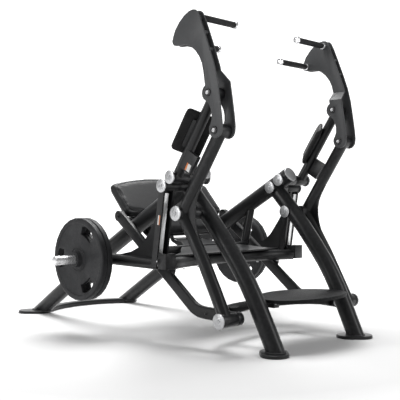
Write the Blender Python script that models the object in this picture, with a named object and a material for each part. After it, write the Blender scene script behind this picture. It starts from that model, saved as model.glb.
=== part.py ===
"""Plate-loaded gym machine with a swinging seat carriage, hand levers and weight levers.

Metres, +Z up. X runs across the machine (symmetric about X = 0), -Y is the
step end. Every left piece sits at negative X and is the mirror of its right twin.
"""
import math

import bmesh
import bpy
import numpy as np
from mathutils import Matrix, Vector

for stale in list(bpy.data.objects):
    bpy.data.objects.remove(stale, do_unlink=True)

# ---------------------------------------------------------------- driving sizes
Y_CENTRE = 1.00165      # middle of the machine along the floor line
GAP = 0.0003             # running gap between touching pieces
FRAME_X = 0.352          # centre plane of each side frame
FRAME_R = 0.045          # big frame tubes
ARM_X = 0.500            # centre plane of levers and links
BLOCK_X = 0.553          # outside face of the carriage blocks
ARM_OUT, ARM_IN = 0.548, 0.452   # outside and inside faces of the hand arm plates
PLATE_T = 0.008          # laser-cut arm plates
P1 = (0.505, 0.8475)     # upper boss: parallel link pivot
P2 = (0.568, 0.805)      # second boss: weight lever pivot
P3 = (0.463, 0.6665)     # lever pivot on the front leg
P4 = (0.167, 0.166)      # lever foot, carries the carriage
P5 = (0.585, 0.424)      # carriage block, hangs on the weight lever
P7 = (0.197, 1.0610)     # hand arm on the lever
P6 = (P7[0] + P1[0] - P3[0], P7[1] + P1[1] - P3[1])   # closes the parallelogram
PLATE_YZ = (1.110, 0.411)   # weight horn axis
PLATE_R = 0.225
RAIL_X = 0.422           # centre plane of the carriage rails
GRIP_IN, GRIP_OUT = 0.262, 0.485
HANDLES = {"upper": (0.337, 1.622), "lower": (0.4565, 1.516)}
SIDES = {"left": -1, "right": 1}


# ------------------------------------------------------------------- materials
def material(name, colour, roughness, metallic):
    mat = bpy.data.materials.new(name)
    mat.use_nodes = True
    shader = mat.node_tree.nodes["Principled BSDF"]
    shader.inputs["Base Color"].default_value = (*colour, 1.0)
    shader.inputs["Roughness"].default_value = roughness
    shader.inputs["Metallic"].default_value = metallic
    return mat


BLACK = ((0.018, 0.018, 0.020), 0.42, 0.0)
PLATE_GREY = ((0.045, 0.046, 0.048), 0.45, 0.0)
SILVER = ((0.78, 0.79, 0.80), 0.35, 0.9)
CHROME = ((0.80, 0.80, 0.81), 0.12, 1.0)
RUBBER = ((0.020, 0.020, 0.021), 0.75, 0.0)
VINYL = ((0.050, 0.051, 0.054), 0.55, 0.0)
URETHANE = ((0.040, 0.041, 0.043), 0.50, 0.0)


# -------------------------------------------------------------------- geometry
def new_object(name, bm, finish, smooth=True):
    bmesh.ops.recalc_face_normals(bm, faces=bm.faces)
    mesh = bpy.data.meshes.new(name)
    bm.to_mesh(mesh)
    bm.free()
    thing = bpy.data.objects.new(name, mesh)
    bpy.context.collection.objects.link(thing)
    mesh.materials.append(material(name + "_finish", *finish))
    if smooth:
        mesh.polygons.foreach_set("use_smooth", [True] * len(mesh.polygons))
        mesh.set_sharp_from_angle(angle=math.radians(32))
    return thing


def mirrored(shape, side):
    """A right-hand mesh, or its mirror on the left."""
    if side < 0:
        bmesh.ops.scale(shape, vec=(-1, 1, 1), verts=shape.verts)
        bmesh.ops.reverse_faces(shape, faces=shape.faces)
    return shape


def rings_to_mesh(rings):
    """Closed skin over a row of equal rings, with a flat cap at each end."""
    bm = bmesh.new()
    rows = [[bm.verts.new(p) for p in ring] for ring in rings]
    count = len(rows[0])
    for a, b in zip(rows, rows[1:]):
        for i in range(count):
            j = (i + 1) % count
            bm.faces.new((a[i], a[j], b[j], b[i]))
    bm.faces.new(rows[0][::-1])
    bm.faces.new(rows[-1])
    bmesh.ops.recalc_face_normals(bm, faces=bm.faces)
    return bm


def circle(radius, sides):
    step = 2 * math.pi / sides
    return [(radius * math.cos(step * (i + 0.5)), radius * math.sin(step * (i + 0.5))) for i in range(sides)]


def oval(width, height, corner, per_corner=4):
    """Rounded rectangle, width along the first axis."""
    points = []
    for k, (sx, sy) in enumerate(((1, 1), (-1, 1), (-1, -1), (1, -1))):
        for i in range(per_corner + 1):
            a = math.pi / 2 * (k + i / per_corner)
            x = sx * (width / 2 - corner) + corner * math.cos(a)
            y = sy * (height / 2 - corner) + corner * math.sin(a)
            points.append((x, y))
    return points


def smooth_path(points, steps):
    """Catmull-Rom curve through the points."""
    pts = [Vector(p) for p in points]
    pts = [2 * pts[0] - pts[1]] + pts + [2 * pts[-1] - pts[-2]]
    out = []
    for k in range(1, len(pts) - 2):
        a, b, c, d = pts[k - 1:k + 3]
        for i in range(steps):
            t = i / steps
            out.append(0.5 * (2 * b + (c - a) * t + (2 * a - 5 * b + 4 * c - d) * t * t
                              + (3 * b - a - 3 * c + d) * t ** 3))
    out.append(pts[-2])
    return out


def bent_path(points, radii, steps=6):
    """Straight runs joined by round bends."""
    pts = [Vector(p) for p in points]
    out = [pts[0]]
    for k in range(1, len(pts) - 1):
        into = (pts[k] - pts[k - 1]).normalized()
        away = (pts[k + 1] - pts[k]).normalized()
        turn = into.angle(away)
        reach = radii[k - 1] * math.tan(turn / 2)
        start, end = pts[k] - into * reach, pts[k] + away * reach
        for i in range(steps + 1):
            t = i / steps
            out.append((1 - t) ** 2 * start + 2 * t * (1 - t) * pts[k] + t * t * end)
    out.append(pts[-1])
    return out


def sweep(path, profile, across):
    """A profile carried along a path; its first axis stays close to the given direction."""
    path = [Vector(p) for p in path]
    rings = []
    for k, point in enumerate(path):
        before = path[max(k - 1, 0)]
        after = path[min(k + 1, len(path) - 1)]
        along = (after - before).normalized()
        first = Vector(across) - along * Vector(across).dot(along)
        first.normalize()
        second = along.cross(first)
        stretch = 1.0
        if 0 < k < len(path) - 1:
            half = (path[k] - before).angle(after - path[k]) / 2
            stretch = 1 / math.cos(half)
        rings.append([point + first * u + second * v * stretch for u, v in profile])
    return rings_to_mesh(rings)


def rod(a, b, radius, sides=14):
    a, b = Vector(a), Vector(b)
    along = (b - a).normalized()
    across = Vector((1, 0, 0)) if abs(along.x) < 0.7 else Vector((0, 1, 0))
    return sweep([a, b], circle(radius, sides), across)


def turned(axis_yz, profile, sides=14):
    """A solid of revolution about a line along X; profile is (x, radius) from one end to the other."""
    cy, cz = axis_yz
    step = 2 * math.pi / sides
    rings = []
    for x, radius in profile:
        rings.append([(x, cy + radius * math.cos(step * (i + 0.5)), cz + radius * math.sin(step * (i + 0.5)))
                      for i in range(sides)])
    return rings_to_mesh(rings)


def slab(outline, x0, x1):
    """A plate cut to an outline in the side plane."""
    return rings_to_mesh([[(x0, y, z) for y, z in outline], [(x1, y, z) for y, z in outline]])


def block(low, high):
    (x0, y0, z0), (x1, y1, z1) = low, high
    return rings_to_mesh([[(x0, y0, z), (x1, y0, z), (x1, y1, z), (x0, y1, z)] for z in (z0, z1)])


def arc(centre, radius, start, end, steps):
    """Points on an arc in the side plane, angles in degrees from +Y towards +Z."""
    out = []
    for i in range(steps + 1):
        a = math.radians(start + (end - start) * i / steps)
        out.append((centre[0] + radius * math.cos(a), centre[1] + radius * math.sin(a)))
    return out


def combine(base, others, operation):
    """Boolean of one mesh with each of the others in turn."""
    def as_object(bm):
        mesh = bpy.data.meshes.new("work")
        bm.to_mesh(mesh)
        bm.free()
        thing = bpy.data.objects.new("work", mesh)
        bpy.context.collection.objects.link(thing)
        return thing

    body = as_object(base)
    for other in others:
        tool = as_object(other)
        change = body.modifiers.new("cut", "BOOLEAN")
        change.operation = operation
        change.solver = "EXACT"
        change.object = tool
        graph = bpy.context.evaluated_depsgraph_get()
        result = bpy.data.meshes.new_from_object(body.evaluated_get(graph))
        body.modifiers.clear()
        body.data = result
        bpy.data.objects.remove(tool, do_unlink=True)
    bm = bmesh.new()
    bm.from_mesh(body.data)
    bpy.data.objects.remove(body, do_unlink=True)
    bmesh.ops.remove_doubles(bm, verts=bm.verts, dist=0.00002)
    return bm


def union(base, *others):
    return combine(base, others, "UNION")


def cut(base, *others):
    return combine(base, others, "DIFFERENCE")


def at(x, yz):
    return (x, yz[0], yz[1])


def direction(a, b):
    d = Vector((0, b[0] - a[0], b[1] - a[1]))
    return d.normalized()


# ----------------------------------------------------------------- fixed frame
MAIN_TOP, MAIN_FOOT = (0.463, 0.880), (2.014, -0.020)
LEG_POINTS = [(-0.330, -0.014, -0.020), (-0.331, 0.006, 0.020), (-0.340, 0.122, 0.250), (-0.346, 0.217, 0.400),
              (-0.351, 0.370, 0.590), (-0.352, 0.500, 0.728), (-0.352, 0.560, 0.790)]
FOOT_T = 0.016


def main_path(side_x, tail=0.0):
    pts = [at(side_x, p) for p in (MAIN_TOP, (0.932, 0.6195), (1.405, 0.352), MAIN_FOOT)]
    if tail:
        d = direction(MAIN_FOOT, MAIN_TOP)
        pts = [Vector(pts[0]) + d * tail] + pts
    return smooth_path(pts, 2)


def floor_cutter():
    return block((-1.2, -0.4, -0.3), (1.2, 2.6, FOOT_T + GAP))


def pivot_boss(axis, x_in, x_out, radius):
    return turned(axis, [(x_in, radius), (x_out, radius)], 14)


def main_tube(side):
    tube = sweep(main_path(FRAME_X), circle(FRAME_R, 14), (1, 0, 0))
    tube = union(tube, pivot_boss(P1, 0.296, 0.4345, 0.029), pivot_boss(P2, 0.296, 0.4345, 0.029))
    bores = [turned(p, [(0.2, 0.0131), (0.6, 0.0131)], 12) for p in (P1, P2)]
    return mirrored(cut(tube, floor_cutter(), *bores), side)


def front_leg(side):
    path = smooth_path([(-x, y, z) for x, y, z in LEG_POINTS], 2)
    leg = sweep(path, circle(FRAME_R, 14), (1, 0, 0))
    leg = union(leg, pivot_boss(P3, 0.302, 0.4345, 0.030))
    seat = sweep(main_path(FRAME_X, 0.2), circle(FRAME_R + GAP, 14), (1, 0, 0))
    bosses = [turned(p, [(0.25, 0.029 + GAP), (0.5, 0.029 + GAP)], 14) for p in (P1, P2)]
    bore = turned(P3, [(0.2, 0.0131), (0.6, 0.0131)], 12)
    return mirrored(cut(leg, floor_cutter(), seat, *bosses, bore), side)


FRONT_FOOT = ((0.3330, 0.012), 0.191, 0.138, 135)     # centre, length, width, heading
REAR_FOOT = ((0.385, 1.985), 0.208, 0.140, 45)


def foot_shape(side, foot, grow=None):
    """Oblong foot with rounded ends and a chamfered rim; grown it is the cutter for its neighbours."""
    centre, length, width, heading = foot
    half, radius = length / 2 - width / 2, width / 2
    levels = ((0.0, 0.002), (0.002, 0.0), (FOOT_T - 0.003, 0.0), (FOOT_T, 0.003))
    if grow:
        levels = ((-0.01, -grow), (0.08, -grow))
    rings = []
    for z, inset in levels:
        ring = []
        for end in (1, -1):
            for i in range(13):
                a = math.radians(-90 + 15 * i) if end > 0 else math.radians(90 + 15 * i)
                u = end * half + (radius - inset) * math.cos(a)
                v = (radius - inset) * math.sin(a)
                h = math.radians(heading)
                ring.append((centre[0] + u * math.cos(h) - v * math.sin(h),
                             centre[1] + u * math.sin(h) + v * math.cos(h), z))
        rings.append(ring)
    return mirrored(rings_to_mesh(rings), side)


def tube_cap(side):
    """Flat disc closing the top end of a main tube."""
    d = direction(MAIN_FOOT, MAIN_TOP)
    d = (Vector(main_path(FRAME_X)[0]) - Vector(main_path(FRAME_X)[1])).normalized()
    start = Vector(at(FRAME_X, MAIN_TOP)) + d * GAP
    rings = []
    first = Vector((1, 0, 0))
    second = d.cross(first)
    for step, radius in ((0.0, 0.0445), (0.004, 0.0445), (0.0055, 0.043)):
        rings.append([start + d * step + first * u + second * v for u, v in circle(radius, 16)])
    return mirrored(rings_to_mesh(rings), side)


def rear_cross_bar():
    """Bowed flat bar between the rear feet."""
    points = [(-0.335, 1.930), (-0.180, 2.012), (0.0, 2.042), (0.180, 2.012), (0.335, 1.930)]
    path = smooth_path([(x, y, 0.0185) for x, y in points], 4)
    bar = sweep(path, oval(0.029, 0.058, 0.008, 2), (0, 0, 1))
    feet = [foot_shape(s, REAR_FOOT, GAP) for s in (-1, 1)]
    tubes = [sweep(main_path(s * FRAME_X), circle(FRAME_R + GAP, 14), (1, 0, 0)) for s in (-1, 1)]
    return cut(bar, *feet, *tubes)


BAR_YZ = (0.838, 0.378)
STRUT_TOP = (0.760, 0.700)


def under_frame():
    """Two struts under the main tubes, joined low down by a square bar."""
    bar = sweep([at(-0.377, BAR_YZ), at(0.377, BAR_YZ)], oval(0.040, 0.040, 0.006, 2), (0, 0, 1))
    for s in (-1, 1):
        bar = union(bar, rod(at(s * FRAME_X, STRUT_TOP), at(s * FRAME_X, (0.836, 0.372)), 0.024, 20))
    seats = [sweep(main_path(s * FRAME_X, 0.2), circle(FRAME_R + GAP, 14), (1, 0, 0)) for s in (-1, 1)]
    high = [block((s * FRAME_X - 0.08, 0.55, 0.741), (s * FRAME_X + 0.08, 0.95, 0.9)) for s in (-1, 1)]
    return cut(bar, *seats, *high)


def axle(side, axis, x_in, x_out, head_in, head_out, core=0.012, head_t=0.006):
    """Pivot pin with a disc head at both ends; the outer head carries a raised boss."""
    profile = [
        (x_in - head_t, head_in * 0.90), (x_in - head_t + 0.0012, head_in), (x_in, head_in),
        (x_in, core), (x_out, core), (x_out, head_out), (x_out + head_t - 0.0012, head_out),
        (x_out + head_t, head_out * 0.92),
    ]
    return mirrored(turned(axis, profile, 14), side)


# ------------------------------------------------------------------ hand levers
def lever(side):
    """Upper and lower tube of one lever, with its three sleeves and the elbow web."""
    body = turned(P3, [(0.4350, 0.033), (0.5465, 0.033)], 14)
    upper = rod(at(ARM_X, P3), at(ARM_X, P7), 0.0315)
    bow = smooth_path([at(ARM_X, p) for p in (P3, (0.308, 0.424), P4)], 2)
    lower = sweep(bow, circle(0.0325, 14), (1, 0, 0))
    foot = turned(P4, [(0.4410, 0.0335), (0.5465, 0.0335)], 14)
    top = turned(P7, [(ARM_IN + PLATE_T + GAP, 0.0345), (ARM_OUT - PLATE_T - GAP, 0.0345)], 14)
    web = slab([(0.322, 0.815), (0.352, 0.765), (0.367, 0.731), (0.375, 0.690), (0.374, 0.644), (0.366, 0.600),
                (0.348, 0.545), (0.372, 0.512), (0.463, 0.6665), (0.360, 0.840)], 0.495, 0.505)
    body = union(body, upper, lower, foot, top, web)
    bores = [turned(p, [(0.3, 0.0131), (0.6, 0.0131)], 12) for p in (P3, P4, P7)]
    return mirrored(cut(body, *bores), side)


PAD_TILT = math.radians(40)
LINK_DIR = direction(P1, P6)
PAD_ACROSS = Vector((math.cos(PAD_TILT), math.sin(PAD_TILT) * LINK_DIR.z, -math.sin(PAD_TILT) * LINK_DIR.y))
PAD_NORMAL = LINK_DIR.cross(PAD_ACROSS)
PAD_ALONG = 0.235        # from the upper boss to the middle of the pad
PAD_SIZE = (0.152, 0.232, 0.023)


def pad_centre(depth):
    base = Vector(at(ARM_X, P1)) + LINK_DIR * PAD_ALONG
    return base + PAD_NORMAL * depth + PAD_ACROSS * 0.011


def link(side):
    """Round link between the upper boss and the hand arm, with pad bracket and stop plate."""
    body = rod(at(ARM_X, P1), at(ARM_X, P6), 0.0258)
    low = turned(P1, [(0.4350, 0.029), (0.5465, 0.029)], 14)
    top = turned(P6, [(ARM_IN + PLATE_T + GAP, 0.0300), (ARM_OUT - PLATE_T - GAP, 0.0300)], 14)
    stop = slab([(0.418, 0.987), (0.334, 0.939), (0.394, 0.855), (0.473, 0.905)], 0.500, 0.522)
    flat = [pad_centre(0.0265) + PAD_ACROSS * u + LINK_DIR * v for u, v in oval(0.060, 0.150, 0.008, 2)]
    near = [p + PAD_NORMAL * -0.012 for p in flat]
    body = union(body, low, top, stop, rings_to_mesh([near, flat]))
    bores = [turned(p, [(0.3, 0.0131), (0.6, 0.0131)], 12) for p in (P1, P6)]
    return mirrored(cut(body, *bores), side)


def arm_pad(side):
    """Flat rounded pad on the inward rear side of a link."""
    wide, tall, thick = PAD_SIZE
    rings = []
    for depth, inset in ((0.0, 0.003), (0.004, 0.0), (thick - 0.008, 0.0), (thick - 0.002, 0.004), (thick, 0.010)):
        centre = pad_centre(0.0268 + depth)
        shape = oval(wide - 2 * inset, tall - 2 * inset, 0.018, 4)
        rings.append([centre + PAD_ACROSS * u + LINK_DIR * v for u, v in shape])
    return mirrored(rings_to_mesh(rings), side)


HEAD_OUTLINE = [
    (0.312, 1.638), (0.322, 1.649), (0.340, 1.653), (0.367, 1.650), (0.402, 1.634), (0.438, 1.606), (0.467, 1.572),
    (0.482, 1.539), (0.488, 1.520), (0.484, 1.506), (0.474, 1.496), (0.458, 1.492), (0.432, 1.491), (0.402, 1.490),
    (0.378, 1.486), (0.354, 1.474), (0.324, 1.451), (0.298, 1.420), (0.280, 1.385), (0.270, 1.345), (0.2635, 1.305),
    (0.262, 1.292),
]
NECK_OUTLINE = [(0.250, 1.201), (0.236, 1.190), (0.222, 1.166), (0.215, 1.140), (0.215, 1.112), (0.223, 1.090)]
FRONT_OUTLINE = [
    (0.147, 1.081), (0.152, 1.127), (0.163, 1.198), (0.179, 1.292), (0.199, 1.368), (0.228, 1.445),
    (0.271, 1.550), (0.295, 1.606),
]


def arm_outline():
    """Side view of a hand arm plate: hooked head, two pin bosses, straight front edge."""
    rear_boss = arc(P6, 0.041, 62, -68, 6)
    foot = arc((0.190, 1.066), 0.0425, 20, -160, 8)
    return HEAD_OUTLINE + rear_boss + NECK_OUTLINE + foot + FRONT_OUTLINE


FOLD_LOW, FOLD_HIGH = 1.298, 1.345
HEAD_IN = 0.503          # inner plate, head part


def pin_holes(x0, x1):
    return [turned(p, [(x0, 0.0083), (x1, 0.0083)], 14) for p in (P6, P7)]


def handle_holes(x0, x1):
    return [turned(p, [(x0, 0.0128), (x1, 0.0128)], 14) for p in HANDLES.values()]


def outer_arm_plate(side):
    plate = slab(arm_outline(), ARM_OUT - PLATE_T, ARM_OUT)
    holes = pin_holes(0.5, 0.6)
    plate = cut(plate, *holes)
    for yz in ((0.318, 1.608), (0.278, 1.536), (0.246, 1.452)):
        plate = union(plate, turned(yz, [(HEAD_IN + PLATE_T + GAP, 0.009), (ARM_OUT - 0.004, 0.009)], 10))
    return mirrored(plate, side)


def inner_arm_plate(side):
    """Same outline, joggled outwards above the upper pin so the head plates sit close together."""
    plate = slab(arm_outline(), ARM_IN, ARM_IN + PLATE_T)
    for level in (FOLD_LOW, FOLD_HIGH):
        everything = plate.verts[:] + plate.edges[:] + plate.faces[:]
        bmesh.ops.bisect_plane(plate, geom=everything, plane_co=(0, 0, level), plane_no=(0, 0, 1))
    for v in plate.verts:
        rise = min(max((v.co.z - FOLD_LOW) / (FOLD_HIGH - FOLD_LOW), 0.0), 1.0)
        v.co.x += rise * (HEAD_IN - ARM_IN)
    return mirrored(cut(plate, *pin_holes(0.4, 0.5), *handle_holes(0.49, 0.53)), side)


def handle_bar(side, axis):
    """Steel bar through the inner plate, with a collar by the plate and a bigger end cap inboard."""
    profile = [
        (0.2440, 0.0150), (0.2455, 0.0195), (0.2500, 0.0215), (0.2585, 0.0215), (0.2610, 0.0195), (0.2617, 0.0125),
        (0.4860, 0.0125), (0.4865, 0.0185), (0.5000, 0.0185), (HEAD_IN - GAP, 0.0170), (HEAD_IN - GAP, 0.0125),
        (ARM_OUT - PLATE_T - GAP, 0.0125),
    ]
    return mirrored(turned(axis, profile, 14), side)


def grip(side, axis):
    """Rubber sleeve on a handle bar."""
    sleeve = turned(axis, [(GRIP_IN, 0.0150), (GRIP_IN + 0.002, 0.0162), (GRIP_OUT - 0.002, 0.0162),
                           (GRIP_OUT, 0.0150)], 24)
    return mirrored(cut(sleeve, turned(axis, [(0.2, 0.0128), (0.6, 0.0128)], 24)), side)


def arm_pin(side, axis):
    """Pin through both arm plates with a round washer head each side."""
    profile = [
        (ARM_IN - 0.0070, 0.009), (ARM_IN - 0.0050, 0.011), (ARM_IN - 0.0050, 0.0185),
        (ARM_IN - GAP, 0.0205), (ARM_IN - GAP, 0.0080), (ARM_OUT + GAP, 0.0080), (ARM_OUT + GAP, 0.0205),
        (ARM_OUT + 0.0050, 0.0185), (ARM_OUT + 0.0050, 0.011), (ARM_OUT + 0.0070, 0.009),
    ]
    return mirrored(turned(axis, profile, 14), side)


# ---------------------------------------------------------------- weight levers
HANG_LOW = (0.626, 0.436)
ARM_Z = 0.405
HANG_ARM_X = 0.5075


def link_band(front, back, top, low):
    """Outline in the side plane running down the hanging link, between two offsets from its centre line."""
    d = direction(P2, HANG_LOW)
    ends = ((P2[0] + d.y * top, P2[1] + d.z * top), (HANG_LOW[0] + d.y * low, HANG_LOW[1] + d.z * low))
    corners = [(ends[0], front), (ends[0], back), (ends[1], back), (ends[1], front)]
    return [(y + d.z * off, z - d.y * off) for (y, z), off in corners]


def weight_lever(side):
    """Hanging channel link, rear arm and the web between them, turning on the second boss."""
    body = turned(P2, [(0.4350, 0.029), (0.5465, 0.029)], 14)
    channel = [slab(link_band(0.020, -0.020, 0.0, 0.044), 0.5350, 0.5450),
               slab(link_band(0.020, -0.020, 0.0, 0.044), 0.4700, 0.4820),
               slab(link_band(-0.008, -0.020, 0.020, 0.044), 0.4800, 0.5360)]
    arm = rod(at(HANG_ARM_X, (0.6285, ARM_Z)), at(HANG_ARM_X, (PLATE_YZ[0] + 0.030, ARM_Z + 0.006)), 0.0310)
    lug = union(slab([(P5[0], P5[1] - 0.017), (P5[0], P5[1] + 0.017), (0.634, P5[1] + 0.017),
                      (0.634, P5[1] - 0.017)], 0.4960, 0.5040),
                turned(P5, [(0.4960, 0.0200), (0.5040, 0.0200)], 14))
    stub = turned(PLATE_YZ, [(0.500, 0.030), (0.590, 0.030), (0.590, 0.058), (0.6030, 0.058)], 14)
    web = slab([(0.610, 0.660), (0.640, 0.655), (0.652, 0.640), (0.676, 0.605), (0.705, 0.566), (0.738, 0.523),
                (0.785, 0.485), (0.850, 0.458), (0.955, 0.438), (1.000, 0.420), (0.640, 0.400)], 0.5030, 0.5120)
    body = union(body, *channel, arm, stub, web, lug)
    bores = [turned(P2, [(0.3, 0.0131), (0.6, 0.0131)], 12), turned(P5, [(0.3, 0.0135), (0.6, 0.0135)], 12)]
    return mirrored(cut(body, *bores), side)


def hang_strip(side):
    """Bright flat strip lying in the channel of the hanging link."""
    return mirrored(slab(link_band(0.0165, 0.0045, 0.036, 0.038), 0.5065, 0.5347), side)


def horn(side):
    """Plain bright sleeve that carries the weight plates."""
    profile = [(0.6033, 0.0245), (0.8180, 0.0245), (0.8230, 0.0215)]
    return mirrored(turned(PLATE_YZ, profile, 16), side)


def weight_plate(side, x0, x1, hub_out):
    """Rubber disc with raised rim and hub and three hand holes."""
    cy, cz = PLATE_YZ
    rim = 0.0045
    profile = [
        (x0, 0.0250), (x0, PLATE_R - 0.006), (x0 + 0.005, PLATE_R), (x1 - 0.005, PLATE_R), (x1, PLATE_R - 0.006),
        (x1, PLATE_R - 0.026), (x1 - rim, PLATE_R - 0.031), (x1 - rim, 0.060), (x1, 0.054), (x1, 0.044),
        (x1 + hub_out, 0.041), (x1 + hub_out, 0.0250),
    ]
    step = 2 * math.pi / 26
    bm = bmesh.new()
    rows = []
    for x, radius in profile:
        rows.append([bm.verts.new((x, cy + radius * math.cos(step * i), cz + radius * math.sin(step * i)))
                     for i in range(26)])
    rows.append(rows[0])
    for a, b in zip(rows, rows[1:]):
        for i in range(26):
            j = (i + 1) % 26
            bm.faces.new((a[i], a[j], b[j], b[i]))
    bmesh.ops.recalc_face_normals(bm, faces=bm.faces)
    cutters = []
    for turn in (0, 120, 240):
        spread = [(0.140, -20), (0.183, -17), (0.190, -8), (0.190, 8), (0.183, 17), (0.140, 20), (0.136, 8),
                  (0.136, -8)]
        hole = []
        for radius, off in spread:
            a = math.radians(turn + off)
            hole.append((cy + radius * math.cos(a), cz + radius * math.sin(a)))
        cutters.append(slab(hole, x0 - 0.05, x1 + 0.05))
    return mirrored(cut(bm, *cutters), side)


# --------------------------------------------------------------- seat carriage
RAIL_TOP = (1.055, 0.643)


def rail(side):
    """Flat-sided tube from the seat down past the block and forward to the lever foot."""
    d = direction((0.440, 0.1745), RAIL_TOP)
    top = Vector(at(RAIL_X, RAIL_TOP)) + d * 0.004
    path = bent_path([top, at(RAIL_X, (0.440, 0.1745)), at(RAIL_X, (0.170, 0.1665))], [0.16], 6)
    body = sweep(path, oval(0.030, 0.060, 0.005, 1), (1, 0, 0))
    body = union(body, turned(RAIL_TOP, [(RAIL_X - 0.0149, 0.0298), (RAIL_X + 0.0149, 0.0298)], 24),
                 turned(P4, [(0.4065, 0.0335), (0.4405, 0.0335)], 14))
    hanger = slab([(0.594, 0.395), (0.616, 0.330), (0.660, 0.338), (0.640, 0.395)], 0.4155, 0.4245)
    body = union(body, hanger)
    arch = sweep(arch_path(), circle(0.0305 + GAP, 14), (0, 0, 1))
    low = sweep(low_path(0.0010), circle(0.0251, 12), (0, 0, 1))
    bore = turned(P4, [(0.3, 0.0131), (0.6, 0.0131)], 12)
    return mirrored(cut(body, arch, low, bore), side)


def arch_path():
    points = [(-0.492, 0.5590), (-0.320, 0.6280), (0.0, 0.6750), (0.320, 0.6280), (0.492, 0.5590)]
    return smooth_path([(x, y, 0.407) for x, y in points], 2)


def low_path(longer=0.0):
    half = [(0.0, 0.445), (0.300, 0.385), (0.398, 0.285), (0.408, 0.222 - longer)]
    points = [(-x, y) for x, y in reversed(half[1:])] + half
    return smooth_path([(x, y, 0.1665) for x, y in points], 2)


def carriage_arch():
    """Bowed cross tube with a forked block and pin at both ends, straddling the weight lever lugs."""
    body = sweep(arch_path(), circle(0.0305, 14), (0, 0, 1))
    parts = []
    for s in (-1, 1):
        parts.append(block((min(s * 0.484, s * BLOCK_X), 0.530, 0.384), (max(s * 0.484, s * BLOCK_X), 0.5880, 0.462)))
    body = union(body, *parts)
    cuts = []
    for s in (-1, 1):
        low = min(s * 0.4930, s * 0.5360)
        cuts.append(block((low, 0.558, 0.370), (low + 0.043, 0.70, 0.480)))
    body = cut(body, *cuts)
    for s in (-1, 1):
        pin = turned(P5, [(0.487, 0.0080), (0.552, 0.0080), (0.552, 0.0150), (0.556, 0.0150), (0.556, 0.0095),
                          (0.562, 0.0085)], 14)
        body = union(body, mirrored(pin, s))
    return body


def low_tube():
    """Bowed tube low down between the two rails, with two bracket bars reaching under the step."""
    body = sweep(low_path(), circle(0.0240, 12), (0, 0, 1))
    tabs = []
    profile = [(0.425, 0.158), (0.425, 0.180), (0.330, 0.186), (0.205, 0.2342), (0.085, 0.2342), (0.085, 0.207),
               (0.190, 0.207), (0.310, 0.164)]
    for s in (-1, 1):
        tabs.append(slab(profile, s * 0.2255 - 0.020, s * 0.2255 + 0.020))
    return union(body, *tabs)


STEP_TOP = 0.2520


def step_outline(inset):
    """Lens shape, rear edge and front edge both bowed."""
    half, rear, front, tip = 0.288 - inset, 0.293 - inset, -0.068 + inset, 0.075
    out = []
    for i in range(19):
        t = math.pi * i / 18
        out.append((half * math.cos(t), tip + (rear - tip) * math.sin(t)))
    for i in range(1, 18):
        t = math.pi * i / 18
        out.append((-half * math.cos(t), tip + (front - tip) * math.sin(t)))
    return out


def step_plate():
    rings = []
    for z, inset in ((STEP_TOP - 0.0175, 0.002), (STEP_TOP - 0.0155, 0.0), (STEP_TOP - 0.002, 0.0), (STEP_TOP, 0.002)):
        rings.append([(x, y, z) for x, y in step_outline(inset)])
    return rings_to_mesh(rings)


# Seat pad: local axes are across (X), up the face, and out of the face.
SEAT_LOW, SEAT_HIGH = Vector((0, 0.933, 0.561)), Vector((0, 1.184, 0.838))
SEAT_UP = (SEAT_HIGH - SEAT_LOW).normalized()
SEAT_OUT = Vector((0, -SEAT_UP.z, SEAT_UP.y))
SEAT_LEN = (SEAT_HIGH - SEAT_LOW).length
SEAT_T = 0.050


def seat_point(x, up, out):
    return SEAT_LOW + SEAT_UP * up + SEAT_OUT * out + Vector((x, 0, 0))


def seat_outline(inset):
    """T-shaped pad: wide wings above the main tubes, a narrower tongue between them."""
    wing, tongue, top, low, step = 0.384 - inset, 0.284 - inset, SEAT_LEN - inset, inset, 0.135 + inset
    right = []

    def corner(cx, cy, radius, start, end, count=5):
        for i in range(count + 1):
            a = math.radians(start + (end - start) * i / count)
            right.append((cx + radius * math.cos(a), cy + radius * math.sin(a)))

    corner(tongue - 0.030, low + 0.030, 0.030, -90, 0, 4)
    corner(tongue + 0.010, step - 0.010, 0.010, 180, 90, 2)
    corner(wing - 0.040, step + 0.040, 0.040, -90, 0, 4)
    corner(wing - 0.034, top - 0.034, 0.034, 0, 76, 4)
    for share in (0.80, 0.60, 0.40, 0.20, 0.07):
        right.append((0.350 * share, top + 0.044 * (1 - share ** 2)))
    left = [(-x, y) for x, y in reversed(right)]
    return right + left


def seat_pad():
    rings = []
    layers = ((-SEAT_T, 0.005), (-SEAT_T + 0.006, 0.0), (-0.010, 0.0), (-0.003, 0.003), (0.0, 0.010))
    for out, inset in layers:
        rings.append([seat_point(x, y, out) for x, y in seat_outline(inset)])
    return rings_to_mesh(rings)


def plate_height(y):
    """Under-seat plate: height of its top face, rising from the arch towards the seat."""
    return 0.4475 + (y - 0.62) * 0.185


def seat_plate():
    edge = [(0.425, 0.612), (0.330, 0.655), (0.275, 0.715), (0.205, 0.780), (0.135, 0.840), (0.100, 0.900),
            (0.090, 0.975)]
    outline = edge + [(-x, y) for x, y in reversed(edge)]
    return rings_to_mesh([[(x, y, plate_height(y) - drop) for x, y in outline] for drop in (0.008, 0.0)])


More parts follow.
